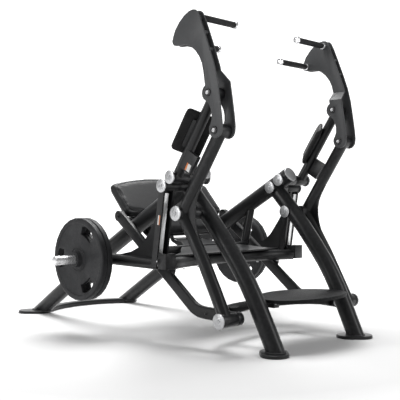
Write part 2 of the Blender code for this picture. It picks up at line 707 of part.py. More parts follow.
def seat_frame():
    """Board behind the pad with stub bars to the rail tops, plate, webs and cross bar down to the arch."""
    shape = oval(0.592, 0.330, 0.030, 2)
    rings = []
    for out in (-SEAT_T - 0.0123, -SEAT_T - 0.0003):
        rings.append([seat_point(x, y + 0.165 + 0.004, out) for x, y in shape])
    body = rings_to_mesh(rings)
    parts = [seat_plate()]
    parts.append(sweep([(-0.322, 0.783, 0.451), (0.322, 0.783, 0.451)], oval(0.060, 0.034, 0.004, 2), (0, 0, 1)))
    for s in (-1, 1):
        parts.append(rod((s * 0.280, 1.074, 0.624), (s * (RAIL_X - 0.0153), 1.074, 0.624), 0.0110, 12))
        web = [(0.664, 0.412), (0.672, 0.448), (0.800, 0.475), (0.975, 0.500), (0.998, 0.546), (1.020, 0.572),
               (1.040, 0.560), (0.990, 0.490), (0.900, 0.452), (0.780, 0.425), (0.700, 0.405)]
        parts.append(slab(web, s * 0.085 - 0.006, s * 0.085 + 0.006))
    body = union(body, *parts)
    arch = sweep(arch_path(), circle(0.0305 + GAP, 14), (0, 0, 1))
    return cut(body, arch)


# ------------------------------------------------------------------- assembly
def build():
    made = []

    def add(name, bm, finish):
        made.append(new_object(name, bm, finish))

    for name, side in SIDES.items():
        add(name + "_main_tube", main_tube(side), BLACK)
        add(name + "_front_leg", front_leg(side), BLACK)
        add(name + "_front_foot_plate", foot_shape(side, FRONT_FOOT), BLACK)
        add(name + "_rear_foot_plate", foot_shape(side, REAR_FOOT), BLACK)
        add(name + "_main_tube_cap", tube_cap(side), SILVER)
        add(name + "_upper_boss_axle", axle(side, P1, 0.2955, 0.5470, 0.034, 0.035), SILVER)
        add(name + "_second_boss_axle", axle(side, P2, 0.2955, 0.5470, 0.034, 0.035), SILVER)
        add(name + "_lever_axle", axle(side, P3, 0.3015, 0.5470, 0.034, 0.0375), SILVER)
        add(name + "_lever_foot_axle", axle(side, P4, 0.4060, 0.5470, 0.028, 0.0375), SILVER)
        add(name + "_lever", lever(side), BLACK)
        add(name + "_parallel_link", link(side), BLACK)
        add(name + "_arm_pad", arm_pad(side), RUBBER)
        add(name + "_hand_arm_outer_plate", outer_arm_plate(side), PLATE_GREY)
        add(name + "_hand_arm_inner_plate", inner_arm_plate(side), PLATE_GREY)
        add(name + "_hand_arm_upper_pin", arm_pin(side, P6), SILVER)
        add(name + "_hand_arm_lower_pin", arm_pin(side, P7), SILVER)
        for level, axis in HANDLES.items():
            add(name + "_" + level + "_handle_bar", handle_bar(side, axis), CHROME)
            add(name + "_" + level + "_grip", grip(side, axis), RUBBER)
        add(name + "_weight_lever", weight_lever(side), BLACK)
        add(name + "_weight_lever_strip", hang_strip(side), SILVER)
        add(name + "_weight_horn", horn(side), CHROME)
        add(name + "_inner_weight_plate", weight_plate(side, 0.6035, 0.6380, 0.0), URETHANE)
        add(name + "_outer_weight_plate", weight_plate(side, 0.6385, 0.6740, 0.024), URETHANE)
        add(name + "_carriage_rail", rail(side), BLACK)
    add("rear_cross_bar", rear_cross_bar(), BLACK)
    add("under_frame", under_frame(), BLACK)
    add("carriage_arch_tube", carriage_arch(), BLACK)
    add("carriage_low_tube", low_tube(), BLACK)
    add("step_plate", step_plate(), PLATE_GREY)
    add("seat_frame", seat_frame(), BLACK)
    add("seat_pad", seat_pad(), VINYL)
    for thing in made:
        thing.data.transform(Matrix.Translation((0, -Y_CENTRE, 0)))


build()
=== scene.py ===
"""Plate-loaded pulldown machine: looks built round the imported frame."""

import math

import bmesh
import bpy
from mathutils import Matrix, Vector
from mathutils.bvhtree import BVHTree


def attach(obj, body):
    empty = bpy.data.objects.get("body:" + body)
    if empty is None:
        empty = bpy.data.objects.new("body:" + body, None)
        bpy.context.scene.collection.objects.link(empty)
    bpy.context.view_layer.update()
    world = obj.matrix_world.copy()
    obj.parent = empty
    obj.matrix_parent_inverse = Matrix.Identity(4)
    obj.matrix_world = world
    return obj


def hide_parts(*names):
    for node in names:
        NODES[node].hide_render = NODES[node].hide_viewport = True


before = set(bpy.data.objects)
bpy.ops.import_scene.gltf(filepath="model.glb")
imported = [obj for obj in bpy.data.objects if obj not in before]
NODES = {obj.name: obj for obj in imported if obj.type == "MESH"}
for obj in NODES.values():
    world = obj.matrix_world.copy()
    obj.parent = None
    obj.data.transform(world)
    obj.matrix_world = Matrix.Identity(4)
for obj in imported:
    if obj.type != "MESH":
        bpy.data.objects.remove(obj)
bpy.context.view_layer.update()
SCENE = bpy.context.scene
SIDES = {"left": -1, "right": 1}

# Points of the side view are (along, high) in metres. SHIFT comes off along to give the frame's Y.
SHIFT = 1.00165
ARM_X = 0.500            # X of the middle of each side's linkage
P1 = (0.505, 0.8475)     # upper boss axle
P2 = (0.568, 0.805)      # second boss axle, where the weight lever hangs
P3 = (0.463, 0.6665)     # lever axle
P4 = (0.167, 0.166)      # lever foot axle
P5 = (0.585, 0.424)      # arch block
P6 = (0.239, 1.242)      # upper hand arm pin
P7 = (0.197, 1.061)      # lower hand arm pin
HANG_LOW = (0.626, 0.436)
PLATE_YZ = (1.110, 0.411)
RAIL_TOP = (1.055, 0.643)
RAIL_LOW_BOLT = (0.3624, 0.1693)
HANDLES = {"upper": (0.337, 1.622), "lower": (0.4565, 1.516)}

SEAT_LOW = Vector((0, 0.933 - SHIFT, 0.561))
SEAT_HIGH = Vector((0, 1.184 - SHIFT, 0.838))
SEAT_UP = (SEAT_HIGH - SEAT_LOW).normalized()
SEAT_OUT = Vector((0, -SEAT_UP.z, SEAT_UP.y))
SEAT_LEN = (SEAT_HIGH - SEAT_LOW).length
SEAT_T = 0.050
SEAT_VOXEL, SEAT_SWELL = 0.006, 0.006
SEAT_GLUED = -0.030      # the cushion is held below this height
OVAL_POINTS = 48
DISC_POINTS = 96
PAD_TILT = math.radians(40)
PAD_VOXEL, PAD_SWELL = 0.005, 0.005
PAD_GLUED = 0.006

CAP_FACE_X = 0.5530      # outer face of the pivot caps
MERGE = 0.00001          # points closer than this are one point
EDGE_ROUND = 0.0009      # bevel on the edges of the CAD pieces
EDGE_ANGLE = 38          # degrees between two faces before their edge is rounded
SMOOTH_ANGLE = 33        # degrees between two faces up to which shading runs over them
WELD_RADIUS, WELD_STEP, WELD_RIPPLE, WELD_PITCH = 0.0034, 0.0016, 0.16, 0.0062
CLOTH_FRAMES, CLOTH_PRESSURE, CLOTH_STIFFNESS = 20, 4.0, 12.0
RAY_REACH = 0.08         # how far off a surface the seams start before they are dropped on it
LABEL_THICK = 0.0004
LABEL_X = 0.5221         # outer face of the stop plate
LINK_LABEL_X = 0.5452    # outer face of the hanging channel

CAMERA_PLACE = (-3.0966, -2.2849 - SHIFT, 0.7378)
CAMERA_LENS = 68.317
YAW = math.radians(44.69)
PITCH = math.radians(-0.07)
ROOM_LIGHT = 0.30        # the room's light on the pieces; the camera itself sees it at 1.0


def yz(point):
    return point[0] - SHIFT, point[1]


def at(x, point):
    return Vector((x, point[0] - SHIFT, point[1]))


def shade(colour, times, plus=0.0):
    """The colour made lighter or darker, up to full white."""
    return tuple(min(1.0, c * times + plus) for c in colour)


# ------------------------------------------------------------------ materials
class Nodes:
    """Short calls for one material's node tree."""

    def __init__(self, name, colour, roughness, metallic=0.0, specular=0.5):
        self.mat = bpy.data.materials.new(name)
        self.mat.use_nodes = True
        self.tree = self.mat.node_tree
        self.tree.nodes.clear()
        out = self.tree.nodes.new("ShaderNodeOutputMaterial")
        self.bsdf = self.tree.nodes.new("ShaderNodeBsdfPrincipled")
        self.link(self.bsdf.outputs[0], out.inputs[0])
        self.set("Base Color", (*colour, 1))
        self.set("Roughness", roughness)
        self.set("Metallic", metallic)
        self.set("Specular IOR Level", specular)
        self.coords = self.tree.nodes.new("ShaderNodeTexCoord").outputs["Object"]
        self.normal = None
        self.mat.diffuse_color = (*colour, 1)

    def link(self, a, b):
        self.tree.links.new(a, b)

    def set(self, name, value):
        self.bsdf.inputs[name].default_value = value

    def mapped(self, scale):
        node = self.tree.nodes.new("ShaderNodeMapping")
        node.inputs["Scale"].default_value = scale
        self.link(self.coords, node.inputs["Vector"])
        return node.outputs[0]

    def noise(self, scale, detail=3.0, rough=0.5, vector=None, distortion=0.0):
        node = self.tree.nodes.new("ShaderNodeTexNoise")
        node.inputs["Scale"].default_value = scale
        node.inputs["Detail"].default_value = detail
        node.inputs["Roughness"].default_value = rough
        node.inputs["Distortion"].default_value = distortion
        self.link(vector or self.coords, node.inputs["Vector"])
        return node.outputs["Fac"]

    def cells(self, scale, feature="F1", vector=None):
        node = self.tree.nodes.new("ShaderNodeTexVoronoi")
        node.feature = feature
        node.inputs["Scale"].default_value = scale
        self.link(vector or self.coords, node.inputs["Vector"])
        return node.outputs["Distance"]

    def math(self, operation, a, b=0.0, clamp=False):
        node = self.tree.nodes.new("ShaderNodeMath")
        node.operation = operation
        node.use_clamp = clamp
        for socket, value in zip(node.inputs, (a, b)):
            if isinstance(value, (int, float)):
                socket.default_value = value
            else:
                self.link(value, socket)
        return node.outputs[0]

    def ramp(self, value, low, high, to_low=0.0, to_high=1.0):
        node = self.tree.nodes.new("ShaderNodeMapRange")
        limits = {"From Min": low, "From Max": high, "To Min": to_low, "To Max": to_high}
        for name, number in limits.items():
            node.inputs[name].default_value = number
        self.link(value, node.inputs["Value"])
        return node.outputs["Result"]

    def mix(self, share, a, b):
        node = self.tree.nodes.new("ShaderNodeMix")
        node.data_type = "RGBA"
        self.link(share, node.inputs["Factor"])
        for socket, value in ((node.inputs[6], a), (node.inputs[7], b)):
            if isinstance(value, tuple):
                socket.default_value = (*value, 1)
            else:
                self.link(value, socket)
        return node.outputs[2]

    def colour(self, socket):
        self.link(socket, self.bsdf.inputs["Base Color"])

    def roughness(self, socket):
        self.link(socket, self.bsdf.inputs["Roughness"])

    def bump(self, height, depth, strength=1.0):
        node = self.tree.nodes.new("ShaderNodeBump")
        node.inputs["Strength"].default_value = strength
        node.inputs["Distance"].default_value = depth
        self.link(height, node.inputs["Height"])
        if self.normal:
            self.link(self.normal, node.inputs["Normal"])
        self.normal = node.outputs[0]
        self.link(self.normal, self.bsdf.inputs["Normal"])


def edge_share(m):
    """Where the surface is convex, as along a worn edge."""
    geometry = m.tree.nodes.new("ShaderNodeNewGeometry")
    return m.ramp(geometry.outputs["Pointiness"], 0.505, 0.56)


def powder_coat(name, colour, rough):
    m = Nodes(name, colour, rough, specular=0.30)
    blotch = m.ramp(m.noise(5.0, 4.0), 0.35, 0.70)
    base = m.mix(blotch, colour, shade(colour, 1.12, 0.001))
    speck = m.ramp(m.noise(900.0, 2.0), 0.60, 0.72)
    base = m.mix(m.math("MULTIPLY", speck, 0.20), base, shade(colour, 1.9, 0.008))
    worn = m.math("MULTIPLY", edge_share(m), m.ramp(m.noise(60.0, 4.0), 0.45, 0.65))
    base = m.mix(m.math("MULTIPLY", worn, 0.10), base, (0.12, 0.12, 0.13))
    m.colour(base)
    m.roughness(m.ramp(m.noise(24.0, 5.0), 0.3, 0.7, rough - 0.02, rough + 0.03))
    m.bump(m.noise(650.0, 2.0), 0.00022, 0.30)
    m.bump(m.noise(9.0, 2.0), 0.0008, 0.05)
    m.set("Coat Weight", 0.05)
    m.set("Coat Roughness", 0.28)
    return m.mat


def turned_metal(name, centre, colour=(0.56, 0.565, 0.575)):
    """Lathe-faced metal with fine rings about an X axis."""
    m = Nodes(name, colour, 0.30, metallic=0.85)
    y, z = centre
    split = m.tree.nodes.new("ShaderNodeSeparateXYZ")
    m.link(m.coords, split.inputs[0])
    dy = m.math("SUBTRACT", split.outputs["Y"], y)
    dz = m.math("SUBTRACT", split.outputs["Z"], z)
    radius = m.math("SQRT", m.math("ADD", m.math("MULTIPLY", dy, dy), m.math("MULTIPLY", dz, dz)))
    rings = m.math("SINE", m.math("MULTIPLY", radius, 5200.0))
    smear = m.noise(70.0, 4.0)
    m.colour(m.mix(m.ramp(smear, 0.35, 0.7), colour, shade(colour, 0.86)))
    m.roughness(m.ramp(m.noise(420.0, 3.0), 0.3, 0.7, 0.30, 0.44))
    m.bump(rings, 0.00006, 0.35)
    return m.mat


def brushed_metal(name, stretch, colour=(0.72, 0.725, 0.735), rough=0.28):
    m = Nodes(name, colour, rough, metallic=0.80)
    lines = m.noise(1.0, 3.0, 0.6, m.mapped(stretch))
    m.colour(m.mix(m.ramp(lines, 0.3, 0.7), shade(colour, 0.82), shade(colour, 1.10)))
    m.roughness(m.ramp(lines, 0.3, 0.7, rough - 0.08, rough + 0.10))
    m.bump(lines, 0.00008, 0.5)
    return m.mat


def chrome(name):
    m = Nodes(name, (0.80, 0.80, 0.81), 0.12, metallic=0.80)
    haze = m.noise(38.0, 5.0, 0.6)
    m.colour(m.mix(m.ramp(haze, 0.40, 0.75), (0.88, 0.88, 0.89), (0.76, 0.765, 0.78)))
    m.roughness(m.ramp(haze, 0.35, 0.75, 0.10, 0.22))
    m.bump(m.noise(260.0, 2.0), 0.00003, 0.4)
    return m.mat


def rubber(name, colour, rough, grain=700.0, depth=0.0003):
    m = Nodes(name, colour, rough, specular=0.24)
    m.colour(m.mix(m.ramp(m.noise(14.0, 5.0), 0.35, 0.70), colour, shade(colour, 1.55, 0.006)))
    m.roughness(m.ramp(m.noise(90.0, 4.0), 0.3, 0.7, rough - 0.07, rough + 0.09))
    m.bump(m.cells(grain), depth, 0.5)
    m.bump(m.noise(160.0, 4.0), 0.0003, 0.25)
    return m.mat


def vinyl(name, colour):
    """Upholstery vinyl: pebbled grain, faint creases, rubbed high spots."""
    m = Nodes(name, colour, 0.46, specular=0.22)
    pebbles = m.cells(620.0, "SMOOTH_F1")
    creases = m.noise(34.0, 6.0, 0.62, distortion=0.8)
    base = m.mix(m.ramp(m.noise(4.0, 4.0), 0.35, 0.70), colour, shade(colour, 1.28))
    base = m.mix(m.ramp(pebbles, 0.0, 0.9, 0.0, 0.25), base, shade(colour, 1.6, 0.004))
    m.colour(base)
    m.roughness(m.ramp(creases, 0.3, 0.7, 0.40, 0.56))
    m.bump(pebbles, 0.00035, 0.45)
    m.bump(creases, 0.0009, 0.30)
    m.set("Sheen Weight", 0.08)
    m.set("Sheen Roughness", 0.45)
    return m.mat


def thread(name, colour):
    m = Nodes(name, colour, 0.6, specular=0.3)
    twist = m.noise(1500.0, 2.0)
    m.colour(m.mix(m.ramp(twist, 0.35, 0.65), colour, shade(colour, 1.8, 0.01)))
    m.roughness(m.ramp(twist, 0.3, 0.7, 0.52, 0.70))
    m.bump(twist, 0.0002, 0.6)
    return m.mat


def tread(name, colour):
    """Step top: raised studs on a fine gritty coat."""
    m = Nodes(name, colour, 0.58, specular=0.12)
    studs = m.ramp(m.cells(62.0), 0.10, 0.34, 1.0, 0.0)
    grit = m.noise(820.0, 3.0)
    base = m.mix(m.ramp(m.noise(7.0, 4.0), 0.35, 0.7), colour, shade(colour, 1.35))
    m.colour(m.mix(m.math("MULTIPLY", studs, 0.45), base, shade(colour, 1.9, 0.01)))
    m.roughness(m.ramp(grit, 0.3, 0.7, 0.48, 0.68))
    m.bump(studs, 0.0010, 0.8)
    m.bump(grit, 0.0004, 0.5)
    return m.mat


def label(name, colour):
    m = Nodes(name, colour, 0.38, specular=0.5)
    fade = m.noise(80.0, 4.0)
    m.colour(m.mix(m.ramp(fade, 0.35, 0.75), colour, shade(colour, 0.86)))
    m.roughness(m.ramp(fade, 0.3, 0.7, 0.32, 0.46))
    m.bump(m.noise(300.0, 2.0), 0.0001, 0.3)
    return m.mat


def weld_metal(name):
    m = Nodes(name, (0.022, 0.022, 0.024), 0.45, specular=0.45)
    ripple = m.noise(260.0, 3.0)
    m.colour(m.mix(m.ramp(ripple, 0.35, 0.65), (0.020, 0.020, 0.022), (0.045, 0.045, 0.048)))
    m.roughness(m.ramp(ripple, 0.3, 0.7, 0.38, 0.55))
    m.bump(ripple, 0.0006, 0.5)
    return m.mat


COAT = powder_coat("satin_coat", (0.0075, 0.0077, 0.0084), 0.36)
PLATE = powder_coat("plate_coat", (0.045, 0.046, 0.048), 0.44)
CHROME = chrome("polished_chrome")
BRUSHED = brushed_metal("brushed_strip", (900.0, 90.0, 6.0), (0.84, 0.845, 0.85), 0.34)
HORN = brushed_metal("brushed_horn", (1400.0, 30.0, 30.0), (0.80, 0.80, 0.81), 0.26)
STEEL = brushed_metal("bolt_steel", (300.0, 300.0, 300.0), (0.62, 0.62, 0.63), 0.30)
DARK_STEEL = powder_coat("bolt_black", (0.014, 0.014, 0.015), 0.36)
GRIP = rubber("grip_rubber", (0.007, 0.007, 0.0075), 0.62, 900.0, 0.0004)
DISC = rubber("disc_rubber", (0.013, 0.0133, 0.0145), 0.50, 480.0, 0.0003)
PAD = rubber("pad_skin", (0.0012, 0.0012, 0.0013), 0.62, 560.0, 0.0004)
VINYL = vinyl("seat_vinyl", (0.0085, 0.0087, 0.0095))
SHELL = rubber("seat_shell", (0.010, 0.010, 0.011), 0.50, 500.0, 0.0003)
THREAD = thread("dark_thread", (0.030, 0.030, 0.032))
TREAD = tread("step_tread", (0.0045, 0.0047, 0.0052))
ORANGE = label("label_orange", (0.62, 0.17, 0.03))
WHITE = label("label_white", (0.62, 0.62, 0.61))
WELD = weld_metal("weld_bead")
FACED = {i: turned_metal("faced_" + str(i), yz(p)) for i, p in enumerate((P1, P2, P3, P4), 1)}


def material_for(node):
    part = node.replace("left_", "").replace("right_", "")
    fixed = {
        "upper_boss_axle": FACED[1], "second_boss_axle": FACED[2], "lever_axle": FACED[3],
        "lever_foot_axle": FACED[4], "hand_arm_upper_pin": DARK_STEEL, "hand_arm_lower_pin": DARK_STEEL,
        "main_tube_cap": FACED[1], "weight_lever_strip": BRUSHED, "weight_horn": HORN,
        "upper_handle_bar": CHROME, "lower_handle_bar": CHROME, "upper_grip": GRIP, "lower_grip": GRIP,
        "inner_weight_plate": DISC, "outer_weight_plate": DISC, "hand_arm_outer_plate": PLATE,
        "hand_arm_inner_plate": PLATE, "step_plate": TREAD, "arm_pad": PAD, "seat_pad": VINYL,
    }
    return fixed.get(part, COAT)


# -------------------------------------------------------------- CAD node finish
def socket_group(name):
    group = bpy.data.node_groups.new(name, "GeometryNodeTree")
    group.interface.new_socket("Geometry", in_out="INPUT", socket_type="NodeSocketGeometry")
    group.interface.new_socket("Geometry", in_out="OUTPUT", socket_type="NodeSocketGeometry")
    return group, group.nodes.new("NodeGroupInput"), group.nodes.new("NodeGroupOutput")


def weld_group():
    group, first, last = socket_group("join_points")
    merge = group.nodes.new("GeometryNodeMergeByDistance")
    merge.inputs["Distance"].default_value = MERGE
    group.links.new(first.outputs[0], merge.inputs["Geometry"])
    group.links.new(merge.outputs["Geometry"], last.inputs[0])
    return group


def smooth_group(angle):
    group, first, last = socket_group("round_shading")
    found = group.nodes.new("GeometryNodeInputMeshEdgeAngle")
    compare = group.nodes.new("FunctionNodeCompare")
    compare.data_type = "FLOAT"
    compare.operation = "LESS_EQUAL"
    compare.inputs["B"].default_value = math.radians(angle)
    group.links.new(found.outputs["Unsigned Angle"], compare.inputs["A"])
    faces = group.nodes.new("GeometryNodeSetShadeSmooth")
    edges = group.nodes.new("GeometryNodeSetShadeSmooth")
    edges.domain = "EDGE"
    group.links.new(first.outputs[0], faces.inputs["Geometry"])
    group.links.new(faces.outputs[0], edges.inputs["Geometry"])
    group.links.new(compare.outputs["Result"], edges.inputs["Shade Smooth"])
    group.links.new(edges.outputs[0], last.inputs[0])
    return group


JOIN = weld_group()
ROUND = smooth_group(SMOOTH_ANGLE)


def add_group(obj, group):
    obj.modifiers.new(group.name, "NODES").node_group = group


def finish_node(name, obj):
    """Material, rounded edges and smooth shading for one CAD node; its own points stay."""
    if "custom_normal" in obj.data.attributes:
        obj.data.attributes.remove(obj.data.attributes["custom_normal"])
    obj.data.materials.clear()
    obj.data.materials.append(material_for(name))
    add_group(obj, JOIN)
    bevel = obj.modifiers.new("soft_edges", "BEVEL")
    bevel.width = EDGE_ROUND
    bevel.segments = 2
    bevel.limit_method = "ANGLE"
    bevel.angle_limit = math.radians(EDGE_ANGLE)
    bevel.use_clamp_overlap = True
    add_group(obj, ROUND)


# ------------------------------------------------------------------ mesh making
def new_piece(name, bm, material, body):
    """A small piece that rides on a body."""
    bmesh.ops.recalc_face_normals(bm, faces=bm.faces)
    mesh = bpy.data.meshes.new(name)
    bm.to_mesh(mesh)
    bm.free()
    obj = bpy.data.objects.new(name, mesh)
    SCENE.collection.objects.link(obj)
    mesh.materials.append(material)
    add_group(obj, ROUND)
    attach(obj, body)
    return obj


def ring_surface(bm, rings):
    """Skin over a row of rings, closed at both ends."""
    rows = [[bm.verts.new(p) for p in ring] for ring in rings]
    for a, b in zip(rows, rows[1:]):
        for i in range(len(a)):
            j = (i + 1) % len(a)
            bm.faces.new((a[i], a[j], b[j], b[i]))
    bm.faces.new(rows[0])
    bm.faces.new(rows[-1])


def basis(axis):
    axis = Vector(axis).normalized()
    first = axis.orthogonal().normalized()
    return axis, first, axis.cross(first)


def hex_share(angle):
    """Radius of a hexagon at an angle, as a share of its corner radius."""
    return math.cos(math.radians(30)) / math.cos((angle % math.radians(60)) - math.radians(30))


# Fastener profiles: distance out of the face and radius, both as shares of the size, and 1 for a hexagon
BUTTON = [
    (0.0, 1.45, 0), (0.10, 1.45, 0), (0.14, 1.38, 0), (0.15, 1.0, 0), (0.42, 0.97, 0),
    (0.60, 0.80, 0), (0.70, 0.56, 0), (0.70, 0.46, 1), (0.36, 0.44, 1),
]
HEX = [
    (0.0, 1.35, 0), (0.16, 1.35, 0), (0.20, 1.28, 0), (0.21, 1.0, 1),
    (0.72, 1.0, 1), (0.84, 0.86, 0), (0.86, 0.40, 0),
]
NUT = [
    (0.0, 1.30, 0), (0.14, 1.30, 0), (0.16, 1.0, 1), (0.80, 1.0, 1),
    (0.90, 0.88, 0), (0.92, 0.52, 0), (1.20, 0.50, 0), (1.30, 0.42, 0),
]
RING_SIDES = 24


def fastener_rings(point, axis, size, profile, turn=0.0):
    axis, first, second = basis(axis)
    rings = []
    for along, radius, is_hex in profile:
        ring = []
        for i in range(RING_SIDES):
            a = math.tau * i / RING_SIDES
            r = size * radius * (hex_share(a) if is_hex else 1.0)
            outward = first * math.cos(a + turn) + second * math.sin(a + turn)
            ring.append(Vector(point) + axis * (along * size) + outward * r)
        rings.append(ring)
    return rings


def fasteners(name, body, places, material=None):
    """One mesh of several bolts; each place is point, axis, size and profile."""
    bm = bmesh.new()
    for i, (point, axis, size, profile) in enumerate(places):
        ring_surface(bm, fastener_rings(point, axis, size, profile, 0.4 * i))
    return new_piece(name, bm, material or STEEL, body)


def tube_along(bm, points, radius, sides=8, closed=True, scallop=0.0, pitch=0.004):
    """Round bead that follows a line of points."""
    count = len(points)
    rows = []
    run = 0.0
    for i, p in enumerate(points):
        before = points[i - 1] if closed or i else points[0]
        after = points[(i + 1) % count] if closed or i < count - 1 else points[-1]
        t = (after - before).normalized()
        side = t.cross(Vector((0.13, 0.21, 0.97))).normalized()
        up = side.cross(t)
        r = radius * (1.0 + scallop * math.sin(math.tau * run / pitch))
        rows.append([bm.verts.new(p + side * (r * math.cos(math.tau * k / sides))
                                  + up * (r * math.sin(math.tau * k / sides))) for k in range(sides)])
        run += (after - p).length
    pairs = list(zip(rows, rows[1:])) + ([(rows[-1], rows[0])] if closed else [])
    for a, b in pairs:
        for k in range(sides):
            m = (k + 1) % sides
            bm.faces.new((a[k], a[m], b[m], b[k]))
    if not closed:
        bm.faces.new(rows[0])
        bm.faces.new(rows[-1])


def even_points(points, gap):
    """The same closed line with points every so far along it."""
    line = points + [points[0]]
    lengths = [0.0]
    for a, b in zip(line, line[1:]):
        lengths.append(lengths[-1] + (b - a).length)
    count = max(8, int(lengths[-1] / gap))
    out = []
    k = 0
    for i in range(count):
        want = lengths[-1] * i / count
        while k < len(lengths) - 2 and lengths[k + 1] < want:
            k += 1
        span = lengths[k + 1] - lengths[k]
        out.append(line[k].lerp(line[k + 1], (want - lengths[k]) / span if span > 1e-9 else 0.0))
    return out


def slice_loops(node, point, normal):
    """Closed outlines where a plane cuts a CAD node."""
    bm = bmesh.new()
    bm.from_mesh(NODES[node].data)
    bmesh.ops.remove_doubles(bm, verts=bm.verts, dist=MERGE)
    everything = bm.verts[:] + bm.edges[:] + bm.faces[:]
    cut = bmesh.ops.bisect_plane(bm, geom=everything, plane_co=point, plane_no=normal)["geom_cut"]
    edges = {e for e in cut if isinstance(e, bmesh.types.BMEdge)}
    loops = []
    while edges:
        start = edges.pop()
        end = start.verts[1]
        loop = [start.verts[0], end]
        while True:
            following = next((e for e in end.link_edges if e in edges), None)
            if following is None:
                break
            edges.discard(following)
            end = following.other_vert(end)
            loop.append(end)
        points = [v.co.copy() for v in loop]
        if len(points) > 4 and (points[0] - points[-1]).length < 1e-6:
            loops.append(points[:-1])
    bm.free()
    return loops


def weld_rings(name, body, cuts):
    """Weld beads along the outlines where planes cut CAD nodes."""
    bm = bmesh.new()
    made = 0
    for node, point, normal in cuts:
        for loop in slice_loops(node, Vector(point), Vector(normal)):
            line = even_points(loop, WELD_STEP)
            tube_along(bm, line, WELD_RADIUS, scallop=WELD_RIPPLE, pitch=WELD_PITCH)
            made += 1
    if made:
        new_piece(name, bm, WELD, body)
    else:
        bm.free()


# ------------------------------------------------------------------ soft pieces
def baked(obj):
    """The mesh as its modifiers leave it."""
    graph = bpy.context.evaluated_depsgraph_get()
    mesh = bpy.data.meshes.new_from_object(obj.evaluated_get(graph), depsgraph=graph)
    old = obj.data
    obj.modifiers.clear()
    obj.data = mesh
    bpy.data.meshes.remove(old)


def swell(obj, cap, stays):
    """Blow the mesh up with cloth pressure, then cap how far each point has moved."""
    rest = [v.co.copy() for v in obj.data.vertices]
    group = obj.vertex_groups.new(name="stays")
    for v in obj.data.vertices:
        share = stays(v.co)
        if share > 0:
            group.add([v.index], share, "REPLACE")
    cloth = obj.modifiers.new("swell", "CLOTH")
    cloth.settings.quality = 5
    cloth.settings.use_pressure = True
    cloth.settings.uniform_pressure_force = CLOTH_PRESSURE
    cloth.settings.effector_weights.gravity = 0.0
    cloth.settings.tension_stiffness = CLOTH_STIFFNESS
    cloth.settings.compression_stiffness = CLOTH_STIFFNESS
    cloth.settings.bending_stiffness = 0.6
    cloth.settings.vertex_group_mass = "stays"
    cloth.point_cache.frame_start = 1
    cloth.point_cache.frame_end = CLOTH_FRAMES
    for step in range(1, CLOTH_FRAMES + 1):
        SCENE.frame_set(step)
    baked(obj)
    for v, start in zip(obj.data.vertices, rest):
        move = v.co - start
        if move.length > cap:
            v.co = start + move * (cap / move.length)
    SCENE.frame_set(1)


def relax(mesh, rounds=3):
    """Smooth out the steps that a voxel remesh leaves."""
    bm = bmesh.new()
    bm.from_mesh(mesh)
    for _ in range(rounds):
        bmesh.ops.smooth_vert(
            bm, verts=bm.verts, factor=0.5, use_axis_x=True, use_axis_y=True, use_axis_z=True
        )
    bm.to_mesh(mesh)
    bm.free()
    for face in mesh.polygons:
        face.use_smooth = True


def inflate(obj, voxel, cap, stays):
    remesh = obj.modifiers.new("even", "REMESH")
    remesh.mode = "VOXEL"
    remesh.voxel_size = voxel
    baked(obj)
    swell(obj, cap, stays)
    relax(obj.data)
    finer = obj.modifiers.new("finer", "SUBSURF")
    finer.levels = 1
    finer.render_levels = 1


def surface_of(obj):
    graph = bpy.context.evaluated_depsgraph_get()
    graph.update()
    return BVHTree.FromObject(obj, graph)


def dropped(tree, points, direction, lift):
    """Points pressed along a direction on to a surface."""
    out = []
    for p in points:
        hit = tree.ray_cast(p - direction * RAY_REACH, direction, RAY_REACH * 2)[0]
        if hit is not None:
            out.append(hit - direction * lift)
    return out


def stitches(bm, points, length, radius):
    """Short threads laid end to end along a line, with gaps."""
    for a, b in zip(points[::2], points[1::2]):
        d = (b - a).normalized()
        middle = (a + b) / 2
        line = [
            middle - d * length / 2,
            middle - d * length / 3,
            middle + d * length / 3,
            middle + d * length / 2,
        ]
        tube_along(bm, line, radius, 6, False)


def soft_object(name, rings, material):
    """A closed body to be inflated."""
    bm = bmesh.new()
    ring_surface(bm, rings)
    bmesh.ops.recalc_face_normals(bm, faces=bm.faces)
    mesh = bpy.data.meshes.new(name)
    bm.to_mesh(mesh)
    bm.free()
    obj = bpy.data.objects.new(name, mesh)
    SCENE.collection.objects.link(obj)
    mesh.materials.append(material)
    return obj


# ------------------------------------------------------------------------- seat
def seat_outline(inset):
    """The seat seen square on: a narrow tongue below wide wings, under a bowed top edge."""
    wing = 0.384 - inset
    tongue = 0.284 - inset
    top = SEAT_LEN - inset
    low = inset
    step = 0.135 + inset
    right = []

    def corner(cx, cy, radius, start, end, count):
        for i in range(count + 1):
            a = math.radians(start + (end - start) * i / count)
            right.append((cx + radius * math.cos(a), cy + radius * math.sin(a)))

    corner(tongue - 0.030, low + 0.030, 0.030, -90, 0, 6)
    corner(tongue + 0.010, step - 0.010, 0.010, 180, 90, 4)
    corner(wing - 0.040, step + 0.040, 0.040, -90, 0, 8)
    corner(wing - 0.034, top - 0.034, 0.034, 0, 76, 8)
    for share in (0.90, 0.80, 0.70, 0.60, 0.50, 0.40, 0.30, 0.20, 0.10, 0.0):
        right.append((0.350 * share, top + 0.044 * (1 - share ** 2)))
    return right + [(-x, y) for x, y in reversed(right[:-1])]


def seat_point(x, up, out):
    return SEAT_LOW + SEAT_UP * up + SEAT_OUT * out + Vector((x, 0, 0))


def seat_height(p):
    return (p - SEAT_LOW).dot(SEAT_OUT)


def seat_ring(inset, out):
    return [seat_point(x, y, out) for x, y in seat_outline(inset)]


